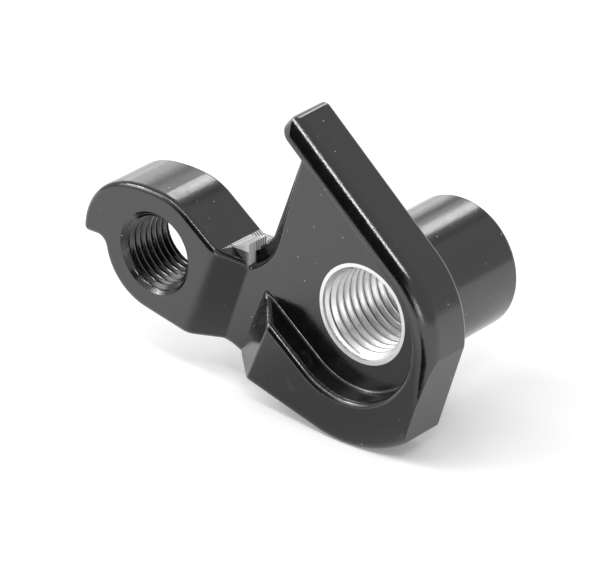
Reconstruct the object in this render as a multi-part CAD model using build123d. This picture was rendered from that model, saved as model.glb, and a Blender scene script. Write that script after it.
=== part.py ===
"""Bicycle derailleur hanger for a thru-axle, one piece of machined aluminium.

Frame: millimetres, the axle axis is Y through the origin. The hub side, with the seat
for the hub's end, looks toward -Y and is called the front. The barrel runs toward +Y,
the side where frame and derailleur are. The line from the axle hole to the derailleur
hole is level and runs toward -X, Z is up.
Depths are read along Y from the flat floor of the hub's seat, which is Y = 0.
"""
import os
from math import acos, asin, atan2, cos, degrees, radians, sin, sqrt

from build123d import *

os.makedirs("parts", exist_ok=True)

# holes and barrel
hole_spacing = 29.8
axle_thread_radius = 6.0
axle_chamfer = 0.46
derailleur_thread_radius = 5.0
derailleur_chamfer = 0.4
barrel_radius = 8.5
barrel_end_y = 19.5
barrel_edge = 0.5

# depths along the axle axis
rim_front_y = -3.6
ear_front_y = -3.0
plate_back_y = 3.4
ear_back_y = 5.9
notch_shelf_y = 2.2

# the wall round the hub end: outer curve, straight arm and lower flat
pocket_radius = 10.0
wall_thickness = 3.0
wall_outer_radius = pocket_radius + wall_thickness
arm_normal_deg = 49.0
arm_tip_past_web = 2.25
arm_tip_inner_round = 1.5
arm_tip_outer_round = 1.1
flat_normal_deg = -17.7
flat_setback = 0.27
flat_corner_round = 1.1

# the lobe below the pocket
lobe_thickness = 5.95
lobe_radius = pocket_radius + lobe_thickness
lobe_slope_deg = 15.7
lobe_wall_deg = 231.8
lobe_wall_bend_x = -pocket_radius - 3.0
lobe_wall_end_slope_deg = 28.5
lobe_wall_run = 12.0
lobe_wall_round = 5.0

# the neck between lobe and ear
neck_bend_x = -pocket_radius - 7.6
neck_upper_run = 2.6
neck_upper_rise = 1.12
neck_round = 4.0
ear_tangent_deg = 258.5

# the ear that carries the derailleur, with its stop tab
ear_radius = 8.2
tab_shift = 3.3
tab_blend_deg = 8.5
tab_bottom_z = -0.4
tab_tip_round = 0.8
tab_root_round = 1.4
ear_side_deg = 53.5

# the notch between the ear and the web
web_edge_deg = 163.6
web_width = 4.3
web_edge_distance = pocket_radius + web_width
notch_radius = 7.0
notch_corner_x = -pocket_radius - 7.4
notch_corner_round = 0.7
step_corner_x = -20.2
step_low_x = -19.2
step_low_rise = 2.2
step_rise = 2.85
shelf_rise = 1.8
shelf_radius = 4.1
shelf_edge_deg = 159.8
shelf_width = 1.7

# the two sloping faces that lead down to the floor
ear_slope_point = (-pocket_radius - 9.0, -3.2)
ear_slope_deg = 70.4
ramp_point = (-pocket_radius - 6.7, -6.0)
ramp_deg = 68.1
slope_angle_deg = 42.0

# the thick back of the ear stops on an arc round the barrel and has a step at the notch
back_pad_radius = 18.4
pad_corner_x = -19.4

# edge rounds
wall_front_round = 2.0
lobe_front_round = 1.0
front_round = 0.8
floor_corner_round = 0.4
rim_inner_round = 0.8
ramp_round = 0.6
ear_slope_round = 2.5
ear_slope_foot_round = 0.8
shelf_cove = 1.4
back_round = 0.3
ear_back_round = 0.6


def polar(centre, radius, angle_deg):
    a = radians(angle_deg)
    return (centre[0] + radius * cos(a), centre[1] + radius * sin(a))


def on_line(normal_deg, distance, along):
    """Point on a line given by the direction of its normal and its distance from the
    axle axis; along runs clockwise as seen from the front."""
    a = radians(normal_deg)
    return (distance * cos(a) + along * sin(a), distance * sin(a) - along * cos(a))


def arc(centre, radius, start_deg, end_deg):
    middle = (start_deg + end_deg) / 2
    return ThreePointArc(
        polar(centre, radius, start_deg),
        polar(centre, radius, middle),
        polar(centre, radius, end_deg),
    )


def front_extrude(sketch, y_front, y_back):
    """Extrude a sketch drawn in X and Z so that it fills y_front to y_back."""
    solid = extrude(Plane.XZ * sketch, amount=y_back - y_front)
    return Pos(0, y_back, 0) * solid


axle = (0.0, 0.0)
ear_centre = (-hole_spacing, 0.0)
tab_centre = (-hole_spacing - tab_shift, 0.0)

# outer outline, clockwise from the outer corner of the arm's tip
flat_distance = wall_outer_radius - flat_setback
crease_deg = flat_normal_deg + degrees(acos(flat_distance / wall_outer_radius))
flat_run = sqrt(lobe_radius**2 - flat_distance**2)
flat_end = on_line(flat_normal_deg, flat_distance, flat_run)
flat_end_deg = degrees(atan2(flat_end[1], flat_end[0]))
lobe_end_deg = -90.0 - lobe_slope_deg
lobe_end = polar(axle, lobe_radius, lobe_end_deg)
lobe_rise = sin(radians(lobe_slope_deg)) / cos(radians(lobe_slope_deg))
neck_bend = (neck_bend_x, lobe_end[1] + (lobe_end[0] - neck_bend_x) * lobe_rise)
neck_upper_bend = (neck_bend[0] - neck_upper_run, neck_bend[1] + neck_upper_rise)
ear_tangent = polar(ear_centre, ear_radius, ear_tangent_deg)
tab_inner_deg = 180.0 - degrees(asin(tab_bottom_z / ear_radius))
tab_root = (-hole_spacing - sqrt(ear_radius**2 - tab_bottom_z**2), tab_bottom_z)
tab_tip = (tab_root[0] - tab_shift, tab_bottom_z)

# a flat arc joins the tab's arc to the ear's, tangent to both
blend_sine = sin(radians(tab_blend_deg))
blend_radius = ear_radius + tab_shift / 2 / blend_sine
blend_drop = tab_shift / 2 / blend_sine * cos(radians(tab_blend_deg))
blend_centre = (-hole_spacing - tab_shift / 2, -blend_drop)
blend_top = polar(blend_centre, blend_radius, 90.0)

# the ear's straight upper side is tangent to the ear's arc
side_distance = ear_radius - hole_spacing * cos(radians(ear_side_deg))
side_start = polar(ear_centre, ear_radius, ear_side_deg)


def side_z(x):
    a = radians(ear_side_deg)
    return (side_distance - x * cos(a)) / sin(a)


def along_line(normal_deg, point):
    """How far point lies along a line with this normal; the inverse of on_line."""
    a = radians(normal_deg)
    return point[0] * sin(a) - point[1] * cos(a)


def crossing(first_deg, first_distance, second_deg, second_distance):
    """Point where two lines cross, each given by its normal and distance."""
    turn = radians(second_deg - first_deg)
    along = (first_distance * cos(turn) - second_distance) / sin(turn)
    return on_line(first_deg, first_distance, along)


def tangent_arc(normal_deg, distance, radius, meet):
    """Centre of an arc tangent to a line from outside, whose lower end is at meet, and
    the point where it touches the line."""
    a = radians(normal_deg)
    to_line = radius + distance - meet[0] * cos(a) - meet[1] * sin(a)
    along = along_line(normal_deg, meet) + sqrt(radius**2 - to_line**2)
    return on_line(normal_deg, distance + radius, along), on_line(normal_deg, distance, along)


def angle_from(centre, point):
    return degrees(atan2(point[1] - centre[1], point[0] - centre[0]))


# the web's left edge is a straight line; the notch arc is tangent to it
notch_corner = (notch_corner_x, side_z(notch_corner_x))
notch_centre, web_bottom = tangent_arc(web_edge_deg, web_edge_distance, notch_radius, notch_corner)
web_top = crossing(web_edge_deg, web_edge_distance, arm_normal_deg, pocket_radius)
tip_along = along_line(arm_normal_deg, web_top) - arm_tip_past_web
tip_outer = on_line(arm_normal_deg, wall_outer_radius, tip_along)
tip_inner = on_line(arm_normal_deg, pocket_radius, tip_along)

outline = make_face(
    Curve()
    + [
        Line(tip_outer, polar(axle, wall_outer_radius, arm_normal_deg)),
        arc(axle, wall_outer_radius, arm_normal_deg, crease_deg),
        Line(polar(axle, wall_outer_radius, crease_deg), flat_end),
        arc(axle, lobe_radius, flat_end_deg, lobe_end_deg),
        Line(lobe_end, neck_bend),
        Line(neck_bend, neck_upper_bend),
        Line(neck_upper_bend, ear_tangent),
        arc(ear_centre, ear_radius, ear_tangent_deg, tab_inner_deg),
        Line(tab_root, tab_tip),
        arc(tab_centre, ear_radius, tab_inner_deg, 90.0 + tab_blend_deg),
        arc(blend_centre, blend_radius, 90.0 + tab_blend_deg, 90.0 - tab_blend_deg),
        arc(ear_centre, ear_radius, 90.0 - tab_blend_deg, ear_side_deg),
        Line(side_start, notch_corner),
        arc(notch_centre, notch_radius, angle_from(notch_centre, notch_corner), web_edge_deg - 180.0),
        Line(web_bottom, web_top),
        Line(web_top, tip_inner),
        Line(tip_inner, tip_outer),
    ]
)
sharp_outline = outline


def corner(face, point):
    return face.vertices().sort_by_distance((point[0], point[1], 0))[0]


for point, radius in (
    (tip_outer, arm_tip_outer_round),
    (tip_inner, arm_tip_inner_round),
    (flat_end, flat_corner_round),
    (neck_bend, neck_round),
    (neck_upper_bend, neck_round),
    (tab_tip, tab_tip_round),
    (tab_root, tab_root_round),
    (notch_corner, notch_corner_round),
):
    outline = fillet(corner(outline, point), radius)

# behind its front edge the notch is shallower: a step beside the ear, which starts at the
# floor's level, and a deeper shelf beside the web, each closing a part of it
inside_z = notch_corner[1] - 1.5 * front_round
step_face = make_face(
    Polyline(
        (step_corner_x, side_z(step_corner_x)),
        (step_low_x, notch_corner[1] + step_low_rise),
        (notch_corner_x, notch_corner[1] + step_rise),
        (notch_corner_x, inside_z),
        (step_corner_x, inside_z),
        (step_corner_x, side_z(step_corner_x)),
    )
)
shelf_edge_distance = web_edge_distance + shelf_width
shelf_crest = (notch_corner_x, notch_corner[1] + shelf_rise)
shelf_centre, shelf_bend = tangent_arc(shelf_edge_deg, shelf_edge_distance, shelf_radius, shelf_crest)
shelf_top = crossing(shelf_edge_deg, shelf_edge_distance, arm_normal_deg, pocket_radius)
inside_web = (web_bottom[0] + 2 * front_round, inside_z)
shelf_face = make_face(
    Curve()
    + [
        Line((notch_corner_x, inside_z), shelf_crest),
        arc(shelf_centre, shelf_radius, angle_from(shelf_centre, shelf_crest), shelf_edge_deg - 180.0),
        Line(shelf_bend, shelf_top),
        Line(shelf_top, web_top),
        Line(web_top, inside_web),
        Line(inside_web, (notch_corner_x, inside_z)),
    ]
)

# the ear's thick back has a lower step of its own
pad_corner = (pad_corner_x, side_z(pad_corner_x))
pad_step_face = make_face(
    Polyline(
        pad_corner,
        (notch_corner_x, pad_corner[1]),
        (notch_corner_x, inside_z),
        (pad_corner_x, inside_z),
        pad_corner,
    )
)

# the pocket: everything in front of the floor between ear slope, wall and lobe
lobe_wall_start = polar(axle, pocket_radius, lobe_wall_deg)
lobe_wall_slope = lobe_wall_deg - 270.0
bend_z = lobe_wall_start[1] + (lobe_wall_bend_x - lobe_wall_start[0]) * sin(
    radians(lobe_wall_slope)
) / cos(radians(lobe_wall_slope))
lobe_wall_bend = (lobe_wall_bend_x, bend_z)
lobe_wall_far = polar(lobe_wall_bend, lobe_wall_run, 180.0 - lobe_wall_end_slope_deg)


def trace(point, direction_deg, along):
    return polar(point, along, direction_deg)


cut_reach = 24.0
cut_margin = 5.0
arm_far = on_line(arm_normal_deg, pocket_radius, tip_along - cut_reach)
pocket_far_x = arm_far[0] - cut_margin
pocket_far_z = arm_far[1] + cut_margin
arm_near = polar(axle, pocket_radius, arm_normal_deg)
pocket = make_face(
    Curve()
    + [
        Line(arm_far, arm_near),
        arc(axle, pocket_radius, arm_normal_deg, lobe_wall_deg - 360.0),
        Line(lobe_wall_start, lobe_wall_bend),
        Line(lobe_wall_bend, lobe_wall_far),
        Line(lobe_wall_far, (pocket_far_x, lobe_wall_far[1])),
        Line((pocket_far_x, lobe_wall_far[1]), (pocket_far_x, pocket_far_z)),
        Line((pocket_far_x, pocket_far_z), arm_far),
    ]
)
pocket = fillet(corner(pocket, lobe_wall_bend), lobe_wall_round)

# the floor strip between the two slopes runs out through the neck's lower edge
ear_low = trace(ear_slope_point, ear_slope_deg, -cut_reach)
ear_high = trace(ear_slope_point, ear_slope_deg, cut_reach)
ramp_low = trace(ramp_point, ramp_deg, -cut_reach)
ramp_high = trace(ramp_point, ramp_deg, cut_reach)
strip = make_face(Polyline(ear_low, ear_high, ramp_high, ramp_low, ear_low))
far_x = -hole_spacing - ear_radius - tab_shift - cut_reach
left_of_ear_slope = make_face(
    Polyline(ear_low, ear_high, (far_x, ear_high[1]), (far_x, ear_low[1]), ear_low)
)
deep = rim_front_y - 2.0


def slope_cut(point, direction_deg, turn):
    """Prism above a face that climbs at slope_angle_deg from a line on the floor."""
    a = radians(direction_deg)
    run = -deep / (sin(radians(slope_angle_deg)) / cos(radians(slope_angle_deg)))
    start = trace(point, direction_deg, -turn * cut_reach)
    plane = Plane(
        origin=(start[0], 0, start[1]),
        x_dir=(-turn * sin(a), 0, turn * cos(a)),
        z_dir=(turn * cos(a), 0, turn * sin(a)),
    )
    profile = make_face(Polyline((0, 0), (run, -deep), (0, -deep), (0, 0)))
    return extrude(plane * profile, amount=2 * cut_reach)


ear_slope = slope_cut(ear_slope_point, ear_slope_deg, 1)
ramp_slope = slope_cut(ramp_point, ramp_deg, -1)
ear_level_cut = front_extrude(left_of_ear_slope, deep, ear_front_y)


def in_plan(point):
    return Vertex(point.X, point.Z, 0)


def spans(edge):
    return [edge.position_at(t) for t in (0.02, 0.25, 0.5, 0.75, 0.98)]


def on_wire(edge, wire):
    return all(in_plan(p).distance_to(wire) < 0.01 for p in spans(edge))


def level(edge, y):
    return all(abs(p.Y - y) < 0.01 for p in spans(edge))


outer_wire = outline.wires()[0]
pocket_wire = pocket.wires()[0]

# the pocket's own lower edges are rounded, so the floor's corners come out filleted
pocket_cut = front_extrude(pocket, deep, 0)
wall_edges = [
    e
    for e in pocket_cut.edges()
    if level(e, 0) and (e @ 0.5).X > arm_far[0] + cut_margin
]
pocket_cut = fillet(wall_edges, floor_corner_round)
floor_cut = pocket_cut - front_extrude(left_of_ear_slope, deep - 1, 1)
cutter = floor_cut + front_extrude(strip, deep, 0) + ramp_slope + ear_slope + ear_level_cut

# the rim stands in front of the floor: wall, arm and lobe in one ring, open to the left
rim_overrun = 4.0
rim_far = (neck_bend_x - rim_overrun, neck_bend[1] + rim_overrun * lobe_rise)
rim_left = (rim_far[0], web_bottom[1])
rim_plan = make_face(
    Curve()
    + [
        Line(tip_outer, polar(axle, wall_outer_radius, arm_normal_deg)),
        arc(axle, wall_outer_radius, arm_normal_deg, crease_deg),
        Line(polar(axle, wall_outer_radius, crease_deg), flat_end),
        arc(axle, lobe_radius, flat_end_deg, lobe_end_deg),
        Line(lobe_end, rim_far),
        Line(rim_far, rim_left),
        Line(rim_left, web_bottom),
        Line(web_bottom, web_top),
        Line(web_top, tip_inner),
        Line(tip_inner, tip_outer),
    ]
)
rim = front_extrude(rim_plan, rim_front_y, 0)
lobe_middle = polar(axle, lobe_radius, (flat_end_deg + lobe_end_deg) / 2)
arm_middle = on_line(arm_normal_deg, wall_outer_radius, tip_along / 2)
tip_middle = on_line(arm_normal_deg, pocket_radius + rim_inner_round, tip_along)


def rim_edge(point):
    edges = rim.edges().sort_by_distance(Vertex(point[0], rim_front_y, point[1]))
    return edges[0]


rim = fillet(rim_edge(lobe_middle), lobe_front_round)
rim = fillet([rim_edge(arm_middle), rim_edge(tip_middle)], wall_front_round)
rim = rim - pocket_cut
rim_inner = [e for e in rim.edges() if level(e, rim_front_y) and on_wire(e, pocket_wire)]
rim = fillet(rim_inner, rim_inner_round)

body = front_extrude(outline, 0, plate_back_y)
body = body + (rim & front_extrude(outline, rim_front_y, 0))
body = body + front_extrude(outline & left_of_ear_slope, ear_front_y, 0)
body = body - cutter
body = body.clean()


def on_trace(edge, point, direction_deg):
    a = radians(direction_deg)
    return all(
        abs((p.Z - point[1]) * cos(a) - (p.X - point[0]) * sin(a)) < 0.02 for p in spans(edge)
    )


def front_edge(edge):
    return on_wire(edge, outer_wire) and max(p.Y for p in spans(edge)) < 0.01


# the ear's slope: a small round at its foot, a soft one at its top
body = fillet(
    [e for e in body.edges() if level(e, 0) and on_trace(e, ear_slope_point, ear_slope_deg)],
    ear_slope_foot_round,
)
body = fillet(
    [e for e in body.edges() if level(e, ear_front_y) and not on_wire(e, outer_wire)],
    ear_slope_round,
)

# one round runs along ear, slope, notch and web; it follows from the ear's top edge
top_middle = Vertex(blend_top[0], ear_front_y, blend_top[1])
seed = body.edges().sort_by_distance(top_middle)[0]
body = fillet(seed, front_round)

# one round runs over the ramp's lower edge, its corner with the pocket wall and its top
ramp_low_edges = [
    e
    for e in body.edges()
    if front_edge(e)
    and (e @ 0.5).Z < neck_upper_bend[1]
    and (e @ 0.5).Y > rim_front_y + lobe_front_round
    and (e @ 0.5).X < lobe_wall_bend_x
]
body = fillet(ramp_low_edges, ramp_round)

# the step and the shelf in the notch: a wide cove runs along the shelf's inner side
air_top = tip_outer[1] + cut_reach
air = make_face(
    Polyline(
        (notch_corner_x, inside_z),
        (notch_corner_x, air_top),
        (0, air_top),
        (0, inside_z),
        (notch_corner_x, inside_z),
    )
)
notch_cut = front_extrude(air - sharp_outline, rim_front_y, notch_shelf_y)
notch_middle_deg = (angle_from(notch_centre, notch_corner) + web_edge_deg - 180.0) / 2
notch_middle = polar(notch_centre, notch_radius, notch_middle_deg)
cove_seed = notch_cut.edges().sort_by_distance(
    Vertex(notch_middle[0], notch_shelf_y, notch_middle[1])
)[0]
notch_cut = fillet(cove_seed, shelf_cove)
body = body + front_extrude(step_face, 0, plate_back_y)
body = body + (front_extrude(shelf_face, front_round, plate_back_y) - notch_cut)

# the thick back of the ear
pad_top = blend_top[1] + front_round
pad_limits = make_face(
    Polyline(
        (inside_web[0], pad_top),
        (inside_web[0], -cut_reach),
        (far_x, -cut_reach),
        (far_x, pad_top),
        (inside_web[0], pad_top),
    )
)
pad = ((outline + pad_step_face) & pad_limits) - Circle(back_pad_radius)
body = body + front_extrude(pad, plate_back_y, ear_back_y)

# barrel, bores and their chamfered mouths
body = body + front_extrude(Circle(barrel_radius), 1.0, barrel_end_y)
body = body - front_extrude(Circle(axle_thread_radius), -1.0, barrel_end_y + 1.0)
derailleur_bore = Pos(ear_centre[0], ear_centre[1]) * Circle(derailleur_thread_radius)
body = body - front_extrude(derailleur_bore, ear_front_y - 1.0, ear_back_y + 1.0)
body = body.clean()


def ring_edges(centre, radius, y):
    return [
        e
        for e in body.edges()
        if e.geom_type == GeomType.CIRCLE
        and abs(e.radius - radius) < 0.01
        and level(e, y)
        and in_plan(e.arc_center).distance_to(Vertex(centre[0], centre[1], 0)) < 0.01
    ]


axle_mouths = ring_edges(axle, axle_thread_radius, 0)
axle_mouths = axle_mouths + ring_edges(axle, axle_thread_radius, barrel_end_y)
ear_mouths = ring_edges(ear_centre, derailleur_thread_radius, ear_front_y)
ear_mouths = ear_mouths + ring_edges(ear_centre, derailleur_thread_radius, ear_back_y)
body = chamfer(axle_mouths, axle_chamfer)
body = chamfer(ear_mouths, derailleur_chamfer)
body = fillet(ring_edges(axle, barrel_radius, barrel_end_y), barrel_edge)

# the back edges
top_back = Vertex(blend_top[0], ear_back_y, blend_top[1])
seed = body.edges().sort_by_distance(top_back)[0]
body = fillet(seed, ear_back_round)


def plate_edge(point):
    edges = body.edges().sort_by_distance(Vertex(point[0], plate_back_y, point[1]))
    return edges[0]


body = fillet([plate_edge(arm_middle), plate_edge(lobe_middle)], back_round)
print("hanger_body", round(body.volume, 1), "valid", body.is_valid, "solids", len(body.solids()))
export_step(body, "parts/hanger_body.step")
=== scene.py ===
# %% [markdown]
# # A bicycle's derailleur hanger
# The hanger is one machined piece of aluminium. It arrives here as a finished solid, in
# metres, with the axle hole on the Y axis. This lesson gives it what the solid leaves
# out: the two screw threads, the anodised finish, the camera and the studio.

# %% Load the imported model
from math import cos, pi, radians, sin

import bmesh
import bpy
from mathutils import Matrix, Vector


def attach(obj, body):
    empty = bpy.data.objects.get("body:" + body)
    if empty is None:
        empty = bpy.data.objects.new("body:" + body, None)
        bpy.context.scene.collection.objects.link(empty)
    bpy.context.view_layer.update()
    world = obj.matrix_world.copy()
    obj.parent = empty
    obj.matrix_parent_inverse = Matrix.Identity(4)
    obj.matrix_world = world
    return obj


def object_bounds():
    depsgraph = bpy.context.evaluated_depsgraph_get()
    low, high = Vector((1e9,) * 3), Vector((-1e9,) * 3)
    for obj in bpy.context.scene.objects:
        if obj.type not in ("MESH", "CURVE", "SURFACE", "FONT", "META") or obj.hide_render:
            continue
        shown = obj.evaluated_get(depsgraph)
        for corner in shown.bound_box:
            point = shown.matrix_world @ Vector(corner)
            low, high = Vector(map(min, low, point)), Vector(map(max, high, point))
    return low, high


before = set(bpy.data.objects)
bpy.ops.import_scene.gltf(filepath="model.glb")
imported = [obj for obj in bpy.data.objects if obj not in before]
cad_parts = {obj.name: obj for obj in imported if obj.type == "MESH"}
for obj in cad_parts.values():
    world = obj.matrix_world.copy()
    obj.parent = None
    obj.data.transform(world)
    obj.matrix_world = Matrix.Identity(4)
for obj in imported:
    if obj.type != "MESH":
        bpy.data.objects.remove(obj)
cad_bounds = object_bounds()
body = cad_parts["hanger_body"]
scene = bpy.context.scene
scene.view_settings.view_transform = "Standard"
MM = 0.001
print("hanger body faces:", len(body.data.polygons))

# %% [markdown]
# ## Camera
# The photo was taken from far away with a long lens, so parallel edges stay nearly
# parallel. The camera's place and its three directions were worked out from the round
# rims of the two holes, whose real sizes are known. A lens ten times as long as the
# sensor is wide gives the same narrow view.

# %% Camera
camera_place = Vector((0.395479, -0.502204, 0.315278))
camera_right = Vector((0.7766, 0.63, 0.006))
camera_down = Vector((0.2807, -0.3375, -0.8985))
camera_forward = Vector((-0.564, 0.6994, -0.439))

camera_data = bpy.data.cameras.new("photo_camera")
camera_data.sensor_width = 36
camera_data.lens = 360
camera = bpy.data.objects.new("photo_camera", camera_data)
scene.collection.objects.link(camera)
turn = Matrix((camera_right, -camera_down, -camera_forward)).transposed()
camera.matrix_world = Matrix.Translation(camera_place) @ turn.to_quaternion().to_matrix().to_4x4()
scene.camera = camera
print("camera looks along", [round(v, 3) for v in camera_forward])

# %% [markdown]
# ## Shader helpers
# Both finishes are built from the same few nodes, so small helpers add a node, set its
# sockets and join it to the next one. All patterns read Object coordinates. The objects
# sit at the origin, unturned, so those coordinates are the real ones in metres, and a
# pattern size can be written in millimetres.


# %% Shader helpers
def new_material(name):
    material = bpy.data.materials.new(name)
    material.use_nodes = True
    tree = material.node_tree
    shader = tree.nodes["Principled BSDF"]
    place = tree.nodes.new("ShaderNodeTexCoord").outputs["Object"]
    return material, tree, shader, place


def math_node(tree, operation, first, second, clamp=False):
    node = tree.nodes.new("ShaderNodeMath")
    node.operation = operation
    node.use_clamp = clamp
    for socket, value in zip(node.inputs, (first, second)):
        if isinstance(value, (int, float)):
            socket.default_value = value
        else:
            tree.links.new(value, socket)
    return node.outputs[0]


def noise(tree, place, size_mm, detail=2.0, roughness=0.5):
    """Cloudy pattern whose lumps are about size_mm across."""
    node = tree.nodes.new("ShaderNodeTexNoise")
    node.inputs["Scale"].default_value = 1000 / size_mm
    node.inputs["Detail"].default_value = detail
    node.inputs["Roughness"].default_value = roughness
    tree.links.new(place, node.inputs["Vector"])
    return node.outputs["Fac"]


def ramp(tree, value, low, high, out_low=0.0, out_high=1.0):
    node = tree.nodes.new("ShaderNodeMapRange")
    node.interpolation_type = "SMOOTHSTEP"
    for name, number in (
        ("From Min", low),
        ("From Max", high),
        ("To Min", out_low),
        ("To Max", out_high),
    ):
        node.inputs[name].default_value = number
    tree.links.new(value, node.inputs["Value"])
    return node.outputs["Result"]


def blend_colour(tree, factor, first, second):
    node = tree.nodes.new("ShaderNodeMix")
    node.data_type = "RGBA"
    tree.links.new(factor, node.inputs["Factor"])
    for socket, value in ((node.inputs["A"], first), (node.inputs["B"], second)):
        if isinstance(value, tuple):
            socket.default_value = (*value, 1.0)
        else:
            tree.links.new(value, socket)
    return node.outputs["Result"]


def mix_value(tree, factor, first, second):
    node = tree.nodes.new("ShaderNodeMix")
    node.data_type = "FLOAT"
    tree.links.new(factor, node.inputs["Factor"])
    for socket, value in ((node.inputs["A"], first), (node.inputs["B"], second)):
        if isinstance(value, (int, float)):
            socket.default_value = value
        else:
            tree.links.new(value, socket)
    return node.outputs["Result"]


def coordinates(tree, place):
    """The three coordinates, and the square of the distance from the axle's axis."""
    split = tree.nodes.new("ShaderNodeSeparateXYZ")
    tree.links.new(place, split.inputs[0])
    x, y, z = (split.outputs[axis] for axis in "XYZ")
    square_x = math_node(tree, "MULTIPLY", x, x)
    square_z = math_node(tree, "MULTIPLY", z, z)
    return x, y, z, math_node(tree, "ADD", square_x, square_z)


def band(tree, value, limits, edge):
    """1 between the two limits and 0 outside, with soft edges; all in millimetres."""
    low, high = limits
    start = ramp(tree, value, (low - edge) * MM, low * MM)
    end = ramp(tree, value, high * MM, (high + edge) * MM, 1.0, 0.0)
    return math_node(tree, "MULTIPLY", start, end)


print("shader helpers ready")

# %% [markdown]
# ## Black anodised aluminium with a bare thread
# The part is machined, blasted lightly, and dyed black in an acid bath that grows a thin
# hard glassy layer. The layer has no metal colour of its own: it is nearly black where
# it mirrors something dark and grey where it mirrors the pale studio, so most of the
# look is reflection. A very fine grain keeps the reflections soft. The axle thread is
# cut after the bath, so it and its countersink are bare bright metal. A mask by the
# distance from the axle axis tells the two apart.

# %% Anodised body
AXLE_MOUTH_RADIUS = 6.47
anodised, tree, shader, place = new_material("black_anodised")
x, y, z, axle_square = coordinates(tree, place)
bare = math_node(tree, "LESS_THAN", axle_square, (AXLE_MOUTH_RADIUS * MM) ** 2)
patchy = noise(tree, place, 6.0, detail=4.0)
black = blend_colour(tree, patchy, (0.003, 0.003, 0.0033), (0.005, 0.005, 0.0053))
smudge = ramp(tree, noise(tree, place, 2.2, detail=5.0), 0.6, 0.78)
black = blend_colour(tree, smudge, black, (0.016, 0.016, 0.016))
print("mask for the bare countersink reaches", AXLE_MOUTH_RADIUS, "mm from the axis")

# %% [markdown]
# ### Painted highlight on the back edge, and the notch
# A thin line along the back edges is painted a little lighter, a painted highlight for the
# light on their rounding. In the notch between ear and plate the last cutter pass left a
# small step. Its top has hatch marks, real tool marks whose bright stripes are a painted
# highlight; its front is painted grey, a painted reflection, and its side is painted
# bright, a painted highlight. Each of these places is a box in real millimetres, made of
# bands across X, Y and Z.

# %% Painted highlight on the back edge
BACK_EDGE_LINE_DEPTH = (3.12, 3.34)
PLATE_FROM = -17.0
on_plate = math_node(tree, "GREATER_THAN", x, PLATE_FROM * MM)
# Painted highlight: a thin lighter line along the plate's back edge, for the light on its rounding.
back_edge_highlight = math_node(tree, "MULTIPLY", on_plate, band(tree, y, BACK_EDGE_LINE_DEPTH, 0.08))
black = blend_colour(tree, back_edge_highlight, black, (0.18, 0.18, 0.18))
print("painted highlight line at depths of", BACK_EDGE_LINE_DEPTH, "mm")

# %% Notch
NOTCH_ACROSS = (-20.17, -17.40)
NOTCH_DEPTH = (-9.0, 5.7)
WEB_TOP = (1.0, 1.1)
STEP_TOP = (2.78, 2.86)
STEP_FALL = 0.165
STEP_FRONT_DEPTH = (0.0, 0.1)
STEP_SIDE_ACROSS = (-17.41, -17.39)
STEP_SIDE_DEPTH = (0.0, 1.0)
STROKE = 0.4
above_web = ramp(tree, z, WEB_TOP[0] * MM, WEB_TOP[1] * MM)
above_web = math_node(tree, "MULTIPLY", above_web, band(tree, y, NOTCH_DEPTH, 0.1))
in_notch = math_node(tree, "MULTIPLY", band(tree, x, NOTCH_ACROSS, 0.01), above_web)
rise = math_node(tree, "ADD", z, math_node(tree, "MULTIPLY", y, STEP_FALL))
high_enough = ramp(tree, rise, STEP_TOP[0] * MM, STEP_TOP[1] * MM)
step_top = math_node(tree, "MULTIPLY", in_notch, high_enough)
# Hatch marks: real tool marks, whose bright stripes are a painted highlight.
phase = math_node(tree, "MULTIPLY", y, 2 * pi / (STROKE * MM))
strokes = ramp(tree, math_node(tree, "SINE", phase, 0.0), -0.6, 0.6)
hatch_marks_and_highlight = blend_colour(tree, strokes, (0.12, 0.12, 0.12), (0.75, 0.75, 0.76))
black = blend_colour(tree, step_top, black, hatch_marks_and_highlight)
# Painted reflection: the step's front is painted grey.
below_top = math_node(tree, "SUBTRACT", in_notch, step_top, clamp=True)
step_front_reflection = math_node(tree, "MULTIPLY", below_top, band(tree, y, STEP_FRONT_DEPTH, 0.02))
black = blend_colour(tree, step_front_reflection, black, (0.07, 0.07, 0.07))
# Painted highlight: the step's side is painted bright.
side_depth = band(tree, y, STEP_SIDE_DEPTH, 0.5)
step_side_highlight = math_node(tree, "MULTIPLY", band(tree, x, STEP_SIDE_ACROSS, 0.01), side_depth)
step_side_highlight = math_node(tree, "MULTIPLY", step_side_highlight, above_web)
black = blend_colour(tree, step_side_highlight, black, (0.6, 0.6, 0.6))
print("hatch marks every", STROKE, "mm")

# %% [markdown]
# ### Dust, gloss and grain
# Dust is a sparse Voronoi pattern: a speck shows only where a cell's middle lies almost on
# the surface. The gloss changes softly from place to place, and a bump of a hundredth of
# a millimetre gives the blasted grain.

# %% Dust, gloss and grain
DUST_SPACING = 1.8
COUNTERSINK_ROUGHNESS = 0.38
dust_cells = tree.nodes.new("ShaderNodeTexVoronoi")
dust_cells.inputs["Scale"].default_value = 1000 / DUST_SPACING
tree.links.new(place, dust_cells.inputs["Vector"])
dust = ramp(tree, dust_cells.outputs["Distance"], 0.035, 0.06, 1.0, 0.0)
black = blend_colour(tree, dust, black, (0.35, 0.35, 0.34))
colour = blend_colour(tree, bare, black, (0.92, 0.92, 0.93))
tree.links.new(colour, shader.inputs["Base Color"])
tree.links.new(bare, shader.inputs["Metallic"])
satin = ramp(tree, noise(tree, place, 1.5, detail=3.0), 0.3, 0.7, 0.12, 0.17)
satin = math_node(tree, "ADD", satin, math_node(tree, "MULTIPLY", smudge, 0.08))
roughness = mix_value(tree, bare, satin, COUNTERSINK_ROUGHNESS)
tree.links.new(roughness, shader.inputs["Roughness"])
shader.inputs["IOR"].default_value = 1.75
grain = tree.nodes.new("ShaderNodeBump")
grain.inputs["Strength"].default_value = 1.0
grain.inputs["Distance"].default_value = 0.012 * MM
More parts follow.
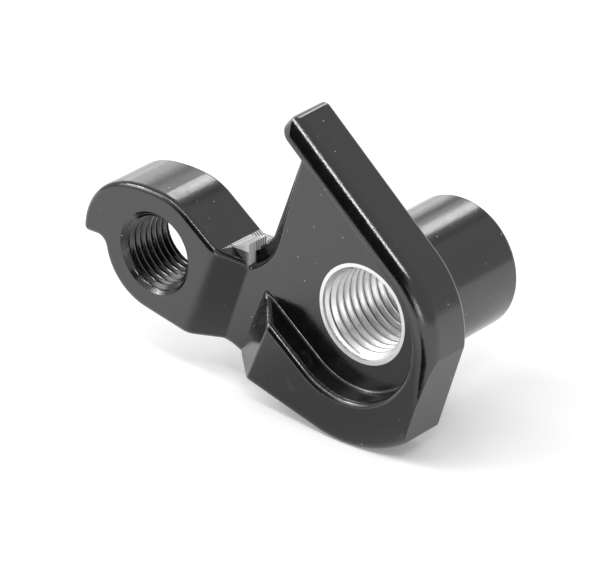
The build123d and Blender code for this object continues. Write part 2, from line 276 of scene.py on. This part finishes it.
tree.links.new(noise(tree, place, 0.2, detail=2.0), grain.inputs["Height"])
tree.links.new(grain.outputs["Normal"], shader.inputs["Normal"])
body.data.materials.clear()
body.data.materials.append(anodised)
print("body material:", anodised.name)

# %% [markdown]
# ## Bare cut thread
# Freshly cut aluminium is bright, with soft reflections. The root of the thread, found by
# its distance from the axis, is painted dark, as painted shade in the groove.

# %% Bare aluminium
ROOT_RADII = (5.78, 5.90)
MOUTH_DEPTH = (1.0, 1.2)
bare_metal, tree, shader, place = new_material("bare_aluminium")
shader.inputs["Metallic"].default_value = 1.0
cloudy = noise(tree, place, 0.8, detail=3.0)
metal = blend_colour(tree, cloudy, (0.88, 0.88, 0.89), (0.96, 0.96, 0.97))
_, y, _, axle_square = coordinates(tree, place)
root = ramp(tree, axle_square, (ROOT_RADII[0] * MM) ** 2, (ROOT_RADII[1] * MM) ** 2)
past_mouth = ramp(tree, y, MOUTH_DEPTH[0] * MM, MOUTH_DEPTH[1] * MM)
# Painted shade: past the mouth, the root of the thread is painted dark.
painted_root_shade = math_node(tree, "MULTIPLY", root, past_mouth)
metal = blend_colour(tree, painted_root_shade, metal, (0.03, 0.03, 0.03))
tree.links.new(metal, shader.inputs["Base Color"])
roughness = ramp(tree, noise(tree, place, 0.5), 0.3, 0.7, 0.34, 0.44)
tree.links.new(roughness, shader.inputs["Roughness"])
print("thread material:", bare_metal.name)

# %% [markdown]
# ## Screw threads
# A thread is one toothed line that turns round the hole's axis and moves one pitch along
# it for every turn. bmesh.ops.spin does just that: it takes a profile with a tooth for
# each pitch, turns it once, and its dvec moves every step a little along the axis, so
# the last line lands on the first, one tooth on. Merging doubles then closes the wall.
# The two ends are cut flat with bisect_plane, and the countersink pushes every point
# that lies inside its cone out to the cone, as the real tool cuts the crests away.
# An outer wall just inside the body and two flat rings close the sleeve.


# %% Thread profile
def thread_profile(bm, centre, pitch, minor, major, y_start, turns):
    """One line of teeth along Y, with a flat crest, two flanks and a flat root."""
    crest_share = 0.2
    root_share = 0.125
    flank_share = (1 - crest_share - root_share) / 2
    flank_steps = 4
    vertices = []
    for tooth in range(turns):
        y = y_start + tooth * pitch
        outline = [(0.0, minor), (crest_share, minor)]
        for step in range(1, flank_steps):
            share = step / flank_steps
            outline.append((crest_share + share * flank_share, minor + share * (major - minor)))
        outline.append((crest_share + flank_share, major))
        outline.append((crest_share + flank_share + root_share, major))
        for step in range(1, flank_steps):
            share = step / flank_steps
            outline.append((1 - flank_share + share * flank_share, major + share * (minor - major)))
        for along, radius in outline:
            point = (centre.x + radius, y + along * pitch, centre.z)
            vertices.append(bm.verts.new(point))
    vertices.append(bm.verts.new((centre.x + minor, y_start + turns * pitch, centre.z)))
    edges = [bm.edges.new(pair) for pair in zip(vertices, vertices[1:])]
    return vertices + edges


print("thread profile ready")

# %% Thread sleeve
SAME_PLACE = 0.001 * MM
SHARP_ANGLE = 28


def make_thread(name, centre, pitch, minor, major, y_low, y_high, mouth_radius, material):
    """Closed sleeve with a helical inner wall between y_low and y_high."""
    steps = 96
    skin = 0.04 * MM
    bm = bmesh.new()
    turns = int((y_high - y_low) / pitch) + 4
    profile = thread_profile(bm, centre, pitch, minor, major - skin, y_low - 2.5 * pitch, turns)
    bmesh.ops.spin(
        bm,
        geom=profile,
        cent=centre,
        axis=(0, 1, 0),
        dvec=(0, pitch / steps, 0),
        angle=2 * pi,
        steps=steps,
    )
    bmesh.ops.remove_doubles(bm, verts=bm.verts, dist=SAME_PLACE)
    for y, side in ((y_low, -1), (y_high, 1)):
        bmesh.ops.bisect_plane(
            bm,
            geom=bm.verts[:] + bm.edges[:] + bm.faces[:],
            dist=0.0001 * MM,
            plane_co=(0, y, 0),
            plane_no=(0, side, 0),
            clear_outer=True,
        )
    for vertex in bm.verts:
        out = Vector((vertex.co.x - centre.x, 0, vertex.co.z - centre.z))
        reach = mouth_radius - min(vertex.co.y - y_low, y_high - vertex.co.y)
        if out.length < min(reach, major - skin):
            out = out.normalized() * min(reach, major - skin)
            vertex.co = Vector((centre.x + out.x, vertex.co.y, centre.z + out.z))
    wall = bmesh.ops.create_circle(bm, cap_ends=False, radius=major + skin, segments=steps)["verts"]
    bmesh.ops.rotate(bm, verts=wall, cent=(0, 0, 0), matrix=Matrix.Rotation(pi / 2, 3, "X"))
    bmesh.ops.translate(bm, verts=wall, vec=(centre.x, y_low, centre.z))
    ring = list({edge for vertex in wall for edge in vertex.link_edges})
    out = bmesh.ops.extrude_edge_only(bm, edges=ring)["geom"]
    far = [item for item in out if isinstance(item, bmesh.types.BMVert)]
    bmesh.ops.translate(bm, verts=far, vec=(0, y_high - y_low, 0))
    for y in (y_low, y_high):
        rims = [
            edge
            for edge in bm.edges
            if edge.is_boundary and all(abs(vertex.co.y - y) < SAME_PLACE for vertex in edge.verts)
        ]
        bmesh.ops.triangle_fill(bm, edges=rims, use_beauty=True, normal=(0, 1, 0))
    bmesh.ops.recalc_face_normals(bm, faces=bm.faces)
    mesh = bpy.data.meshes.new(name)
    bm.to_mesh(mesh)
    open_edges = sum(1 for edge in bm.edges if not edge.is_manifold)
    bm.free()
    piece = bpy.data.objects.new(name, mesh)
    scene.collection.objects.link(piece)
    mesh.materials.append(material)
    for polygon in mesh.polygons:
        polygon.use_smooth = True
    mesh.set_sharp_from_angle(angle=radians(SHARP_ANGLE))
    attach(piece, "root")
    print(name, "faces:", len(mesh.polygons), "open edges:", open_edges)


# %% The two threads
make_thread(
    "axle_thread",
    Vector((0, 0, 0)),
    pitch=1.25 * MM,
    minor=5.32 * MM,
    major=6.0 * MM,
    y_low=0.46 * MM,
    y_high=19.04 * MM,
    mouth_radius=6.0 * MM,
    material=bare_metal,
)
make_thread(
    "derailleur_thread",
    Vector((-29.8 * MM, 0, 0)),
    pitch=1.0 * MM,
    minor=4.46 * MM,
    major=5.0 * MM,
    y_low=-2.6 * MM,
    y_high=5.5 * MM,
    mouth_radius=5.0 * MM,
    material=anodised,
)

# %% [markdown]
# ## Floor
# The hanger stands in front of pure white paper. The floor is white, and what the camera
# sees of it gets a little light of its own, so the paper reads as white and a shadow on
# it stays grey. Mirror images show the paper close in front of the part darker, a painted
# shadow, as the lower front face does in the photo.

# %% Floor
PAPER_GLOW = 0.17
PAPER_HALF_WIDTH = 1.5
PAPER_GAP = 0.02
FOOT = (-8, -16)
FOOT_REACH = (8, 26)
floor_bm = bmesh.new()
bmesh.ops.create_grid(floor_bm, x_segments=1, y_segments=1, size=PAPER_HALF_WIDTH)
bmesh.ops.translate(floor_bm, verts=floor_bm.verts, vec=(0, 0, cad_bounds[0][2] - PAPER_GAP * MM))
floor_mesh = bpy.data.meshes.new("floor")
floor_bm.to_mesh(floor_mesh)
floor_bm.free()
floor = bpy.data.objects.new("floor", floor_mesh)
scene.collection.objects.link(floor)
paper, tree, shader, place = new_material("white_paper")
shader.inputs["Roughness"].default_value = 0.9
shader.inputs["Specular IOR Level"].default_value = 0.0
paths = tree.nodes.new("ShaderNodeLightPath")
from_foot = tree.nodes.new("ShaderNodeVectorMath")
from_foot.operation = "DISTANCE"
tree.links.new(place, from_foot.inputs[0])
from_foot.inputs[1].default_value = (FOOT[0] * MM, FOOT[1] * MM, cad_bounds[0][2])
distance = from_foot.outputs["Value"]
# Painted shadow: only glossy rays see the paper near the part's foot darker.
near = ramp(tree, distance, FOOT_REACH[0] * MM, FOOT_REACH[1] * MM, 1.0, 0.0)
mirrored_foot_shadow = math_node(tree, "MULTIPLY", paths.outputs["Is Glossy Ray"], near)
white = blend_colour(tree, mirrored_foot_shadow, (0.9, 0.9, 0.9), (0.36, 0.36, 0.36))
tree.links.new(white, shader.inputs["Base Color"])
seen = math_node(tree, "MAXIMUM", paths.outputs["Is Camera Ray"], paths.outputs["Is Glossy Ray"])
glow = math_node(tree, "MULTIPLY", seen, PAPER_GLOW)
shader.inputs["Emission Color"].default_value = (1, 1, 1, 1)
tree.links.new(glow, shader.inputs["Emission Strength"])
floor_mesh.materials.append(paper)
print("floor at", round(floor_mesh.vertices[0].co.z / MM, 2), "mm")

# %% [markdown]
# ## Studio walls
# Black anodising shows little of its own colour, so what it mirrors matters most. The
# tent round the part is pale grey. Behind the camera a gap in it shows the dark room, as
# a band of dark patches, and that gap is what draws the black bands along the rounded
# edges. Pale walls on both sides of it fill the bare thread with light. The world is
# painted by direction: each patch is a spot on the sky, given by its middle, the angle up
# to which it is full, the angle at which it has faded out, and its brightness.

# %% World
def direction_to(azimuth, elevation):
    """Unit vector; azimuth 0 is straight behind the part and grows to the right."""
    a, e = radians(azimuth), radians(elevation)
    return Vector((cos(e) * sin(a), cos(e) * cos(a), sin(e)))


TENT = 0.69
PATCHES = {
    "pale_wall_left": (-128, 34, 10, 20, 3.4),
    "pale_wall_right": (150, -4, 8, 16, 5.0),
    "dark_low": (-165, -4, 8, 14, 0.02),
    "dark_middle": (-179, 14, 9, 15, 0.02),
    "dark_right": (166, 27, 9, 15, 0.02),
    "dark_high": (154, 41, 8, 12, 0.02),
    "dark_seam": (4, 46, 2, 6, 0.35),
    "glow_behind": (-28, 35, 3, 14, 1.9),
}
world = bpy.data.worlds.new("studio")
scene.world = world
world.use_nodes = True
tree = world.node_tree
towards = tree.nodes.new("ShaderNodeTexCoord").outputs["Generated"]
level = TENT
for azimuth, elevation, full, faded, brightness in PATCHES.values():
    facing = tree.nodes.new("ShaderNodeVectorMath")
    facing.operation = "DOT_PRODUCT"
    tree.links.new(towards, facing.inputs[0])
    facing.inputs[1].default_value = direction_to(azimuth, elevation)
    share = ramp(tree, facing.outputs["Value"], cos(radians(faded)), cos(radians(full)))
    level = mix_value(tree, share, level, brightness)
seen = tree.nodes.new("ShaderNodeLightPath").outputs["Is Camera Ray"]
background = tree.nodes["Background"]
background.inputs["Color"].default_value = (1, 1, 1, 1)
tree.links.new(mix_value(tree, seen, level, 1.0), background.inputs["Strength"])
print("patches on the studio walls:", ", ".join(PATCHES))

# %% [markdown]
# ## Lamps
# The lamps stand far away, so that each is the same for the whole part. A large low box
# on the left lights the left ends of ear and barrel. A small one behind draws the
# sparkling streak along their tops. Two boxes in front, with a strip light between them
# over the camera, draw the thin white lines on the rounded edges.


# %% Lamps
LAMP_DISTANCE = 3.0


def area_lamp(name, place, along, wide, high, radiance):
    """Rectangle that faces the part; its long side runs the way of along."""
    data = bpy.data.lights.new(name, "AREA")
    data.shape = "RECTANGLE"
    data.size = wide
    data.size_y = high
    data.energy = radiance * pi * wide * high
    lamp = bpy.data.objects.new(name, data)
    scene.collection.objects.link(lamp)
    back = place.normalized()
    across = (along - along.dot(back) * back).normalized()
    turned = Matrix((across, back.cross(across), back)).transposed().to_4x4()
    lamp.matrix_world = Matrix.Translation(place) @ turned
    print(name, "at", [round(v, 2) for v in place])


def soft_box(name, azimuth, elevation, wide, high, radiance):
    """Upright lamp whose width and height are angles as the part sees them."""
    towards_lamp = direction_to(azimuth, elevation)
    sideways = Vector((0, 0, 1)).cross(towards_lamp)
    width, height = (LAMP_DISTANCE * radians(angle) for angle in (wide, high))
    area_lamp(name, towards_lamp * LAMP_DISTANCE, sideways, width, height, radiance)


def strip_light(name, first, last, high, radiance):
    """Long lamp that reaches from one direction to another in a straight line."""
    start, end = (direction_to(*angles) * LAMP_DISTANCE for angles in (first, last))
    thickness = LAMP_DISTANCE * radians(high)
    area_lamp(name, (start + end) / 2, end - start, (end - start).length, thickness, radiance)


soft_box("low_box_left", -58, 14, 34, 26, 1.4)
soft_box("box_behind", -22, 41, 13, 10, 5.0)
soft_box("box_front_left", -115, 42, 10, 10, 10.0)
soft_box("box_front_right", 132, 49, 12, 9, 11.0)
strip_light("strip_above", (-115, 42), (132, 49), 4, 9.0)

# %% [markdown]
# ## Black cards
# A photographer's black cards take light away where a mirror image should be dark. A
# large one stands on the paper in front of the part and keeps the far paper out of the
# rounded edges. A narrow one lies on the paper at the right and draws the black line on
# the rounded edge beside the axle hole. Only mirror images show them.

# %% Black cards
flock, tree, shader, place = new_material("black_flock")
shader.inputs["Base Color"].default_value = (0.01, 0.01, 0.01, 1)
shader.inputs["Roughness"].default_value = 1.0
shader.inputs["Specular IOR Level"].default_value = 0.0


def black_card(name, wide, deep, place, tilt):
    """Card wide by deep; place is its middle above the paper, all in millimetres."""
    card_bm = bmesh.new()
    bmesh.ops.create_grid(card_bm, x_segments=1, y_segments=1, size=0.5)
    bmesh.ops.scale(card_bm, verts=card_bm.verts, vec=(wide * MM, deep * MM, 1))
    raised = Matrix.Rotation(tilt, 3, "X")
    bmesh.ops.rotate(card_bm, verts=card_bm.verts, cent=(0, 0, 0), matrix=raised)
    middle = Vector(place) * MM + Vector((0, 0, cad_bounds[0][2]))
    bmesh.ops.translate(card_bm, verts=card_bm.verts, vec=middle)
    card_mesh = bpy.data.meshes.new(name)
    card_bm.to_mesh(card_mesh)
    card_bm.free()
    card = bpy.data.objects.new(name, card_mesh)
    scene.collection.objects.link(card)
    card.visible_camera = False
    card.visible_diffuse = False
    card.visible_shadow = False
    card_mesh.materials.append(flock)
    print(name, "at", [round(v / MM) for v in middle])


black_card("black_card", wide=90, deep=75, place=(-17, -110, 37.5), tilt=pi / 2)
black_card("black_card_right", wide=15, deep=40, place=(20, -38, 0.1), tilt=0)
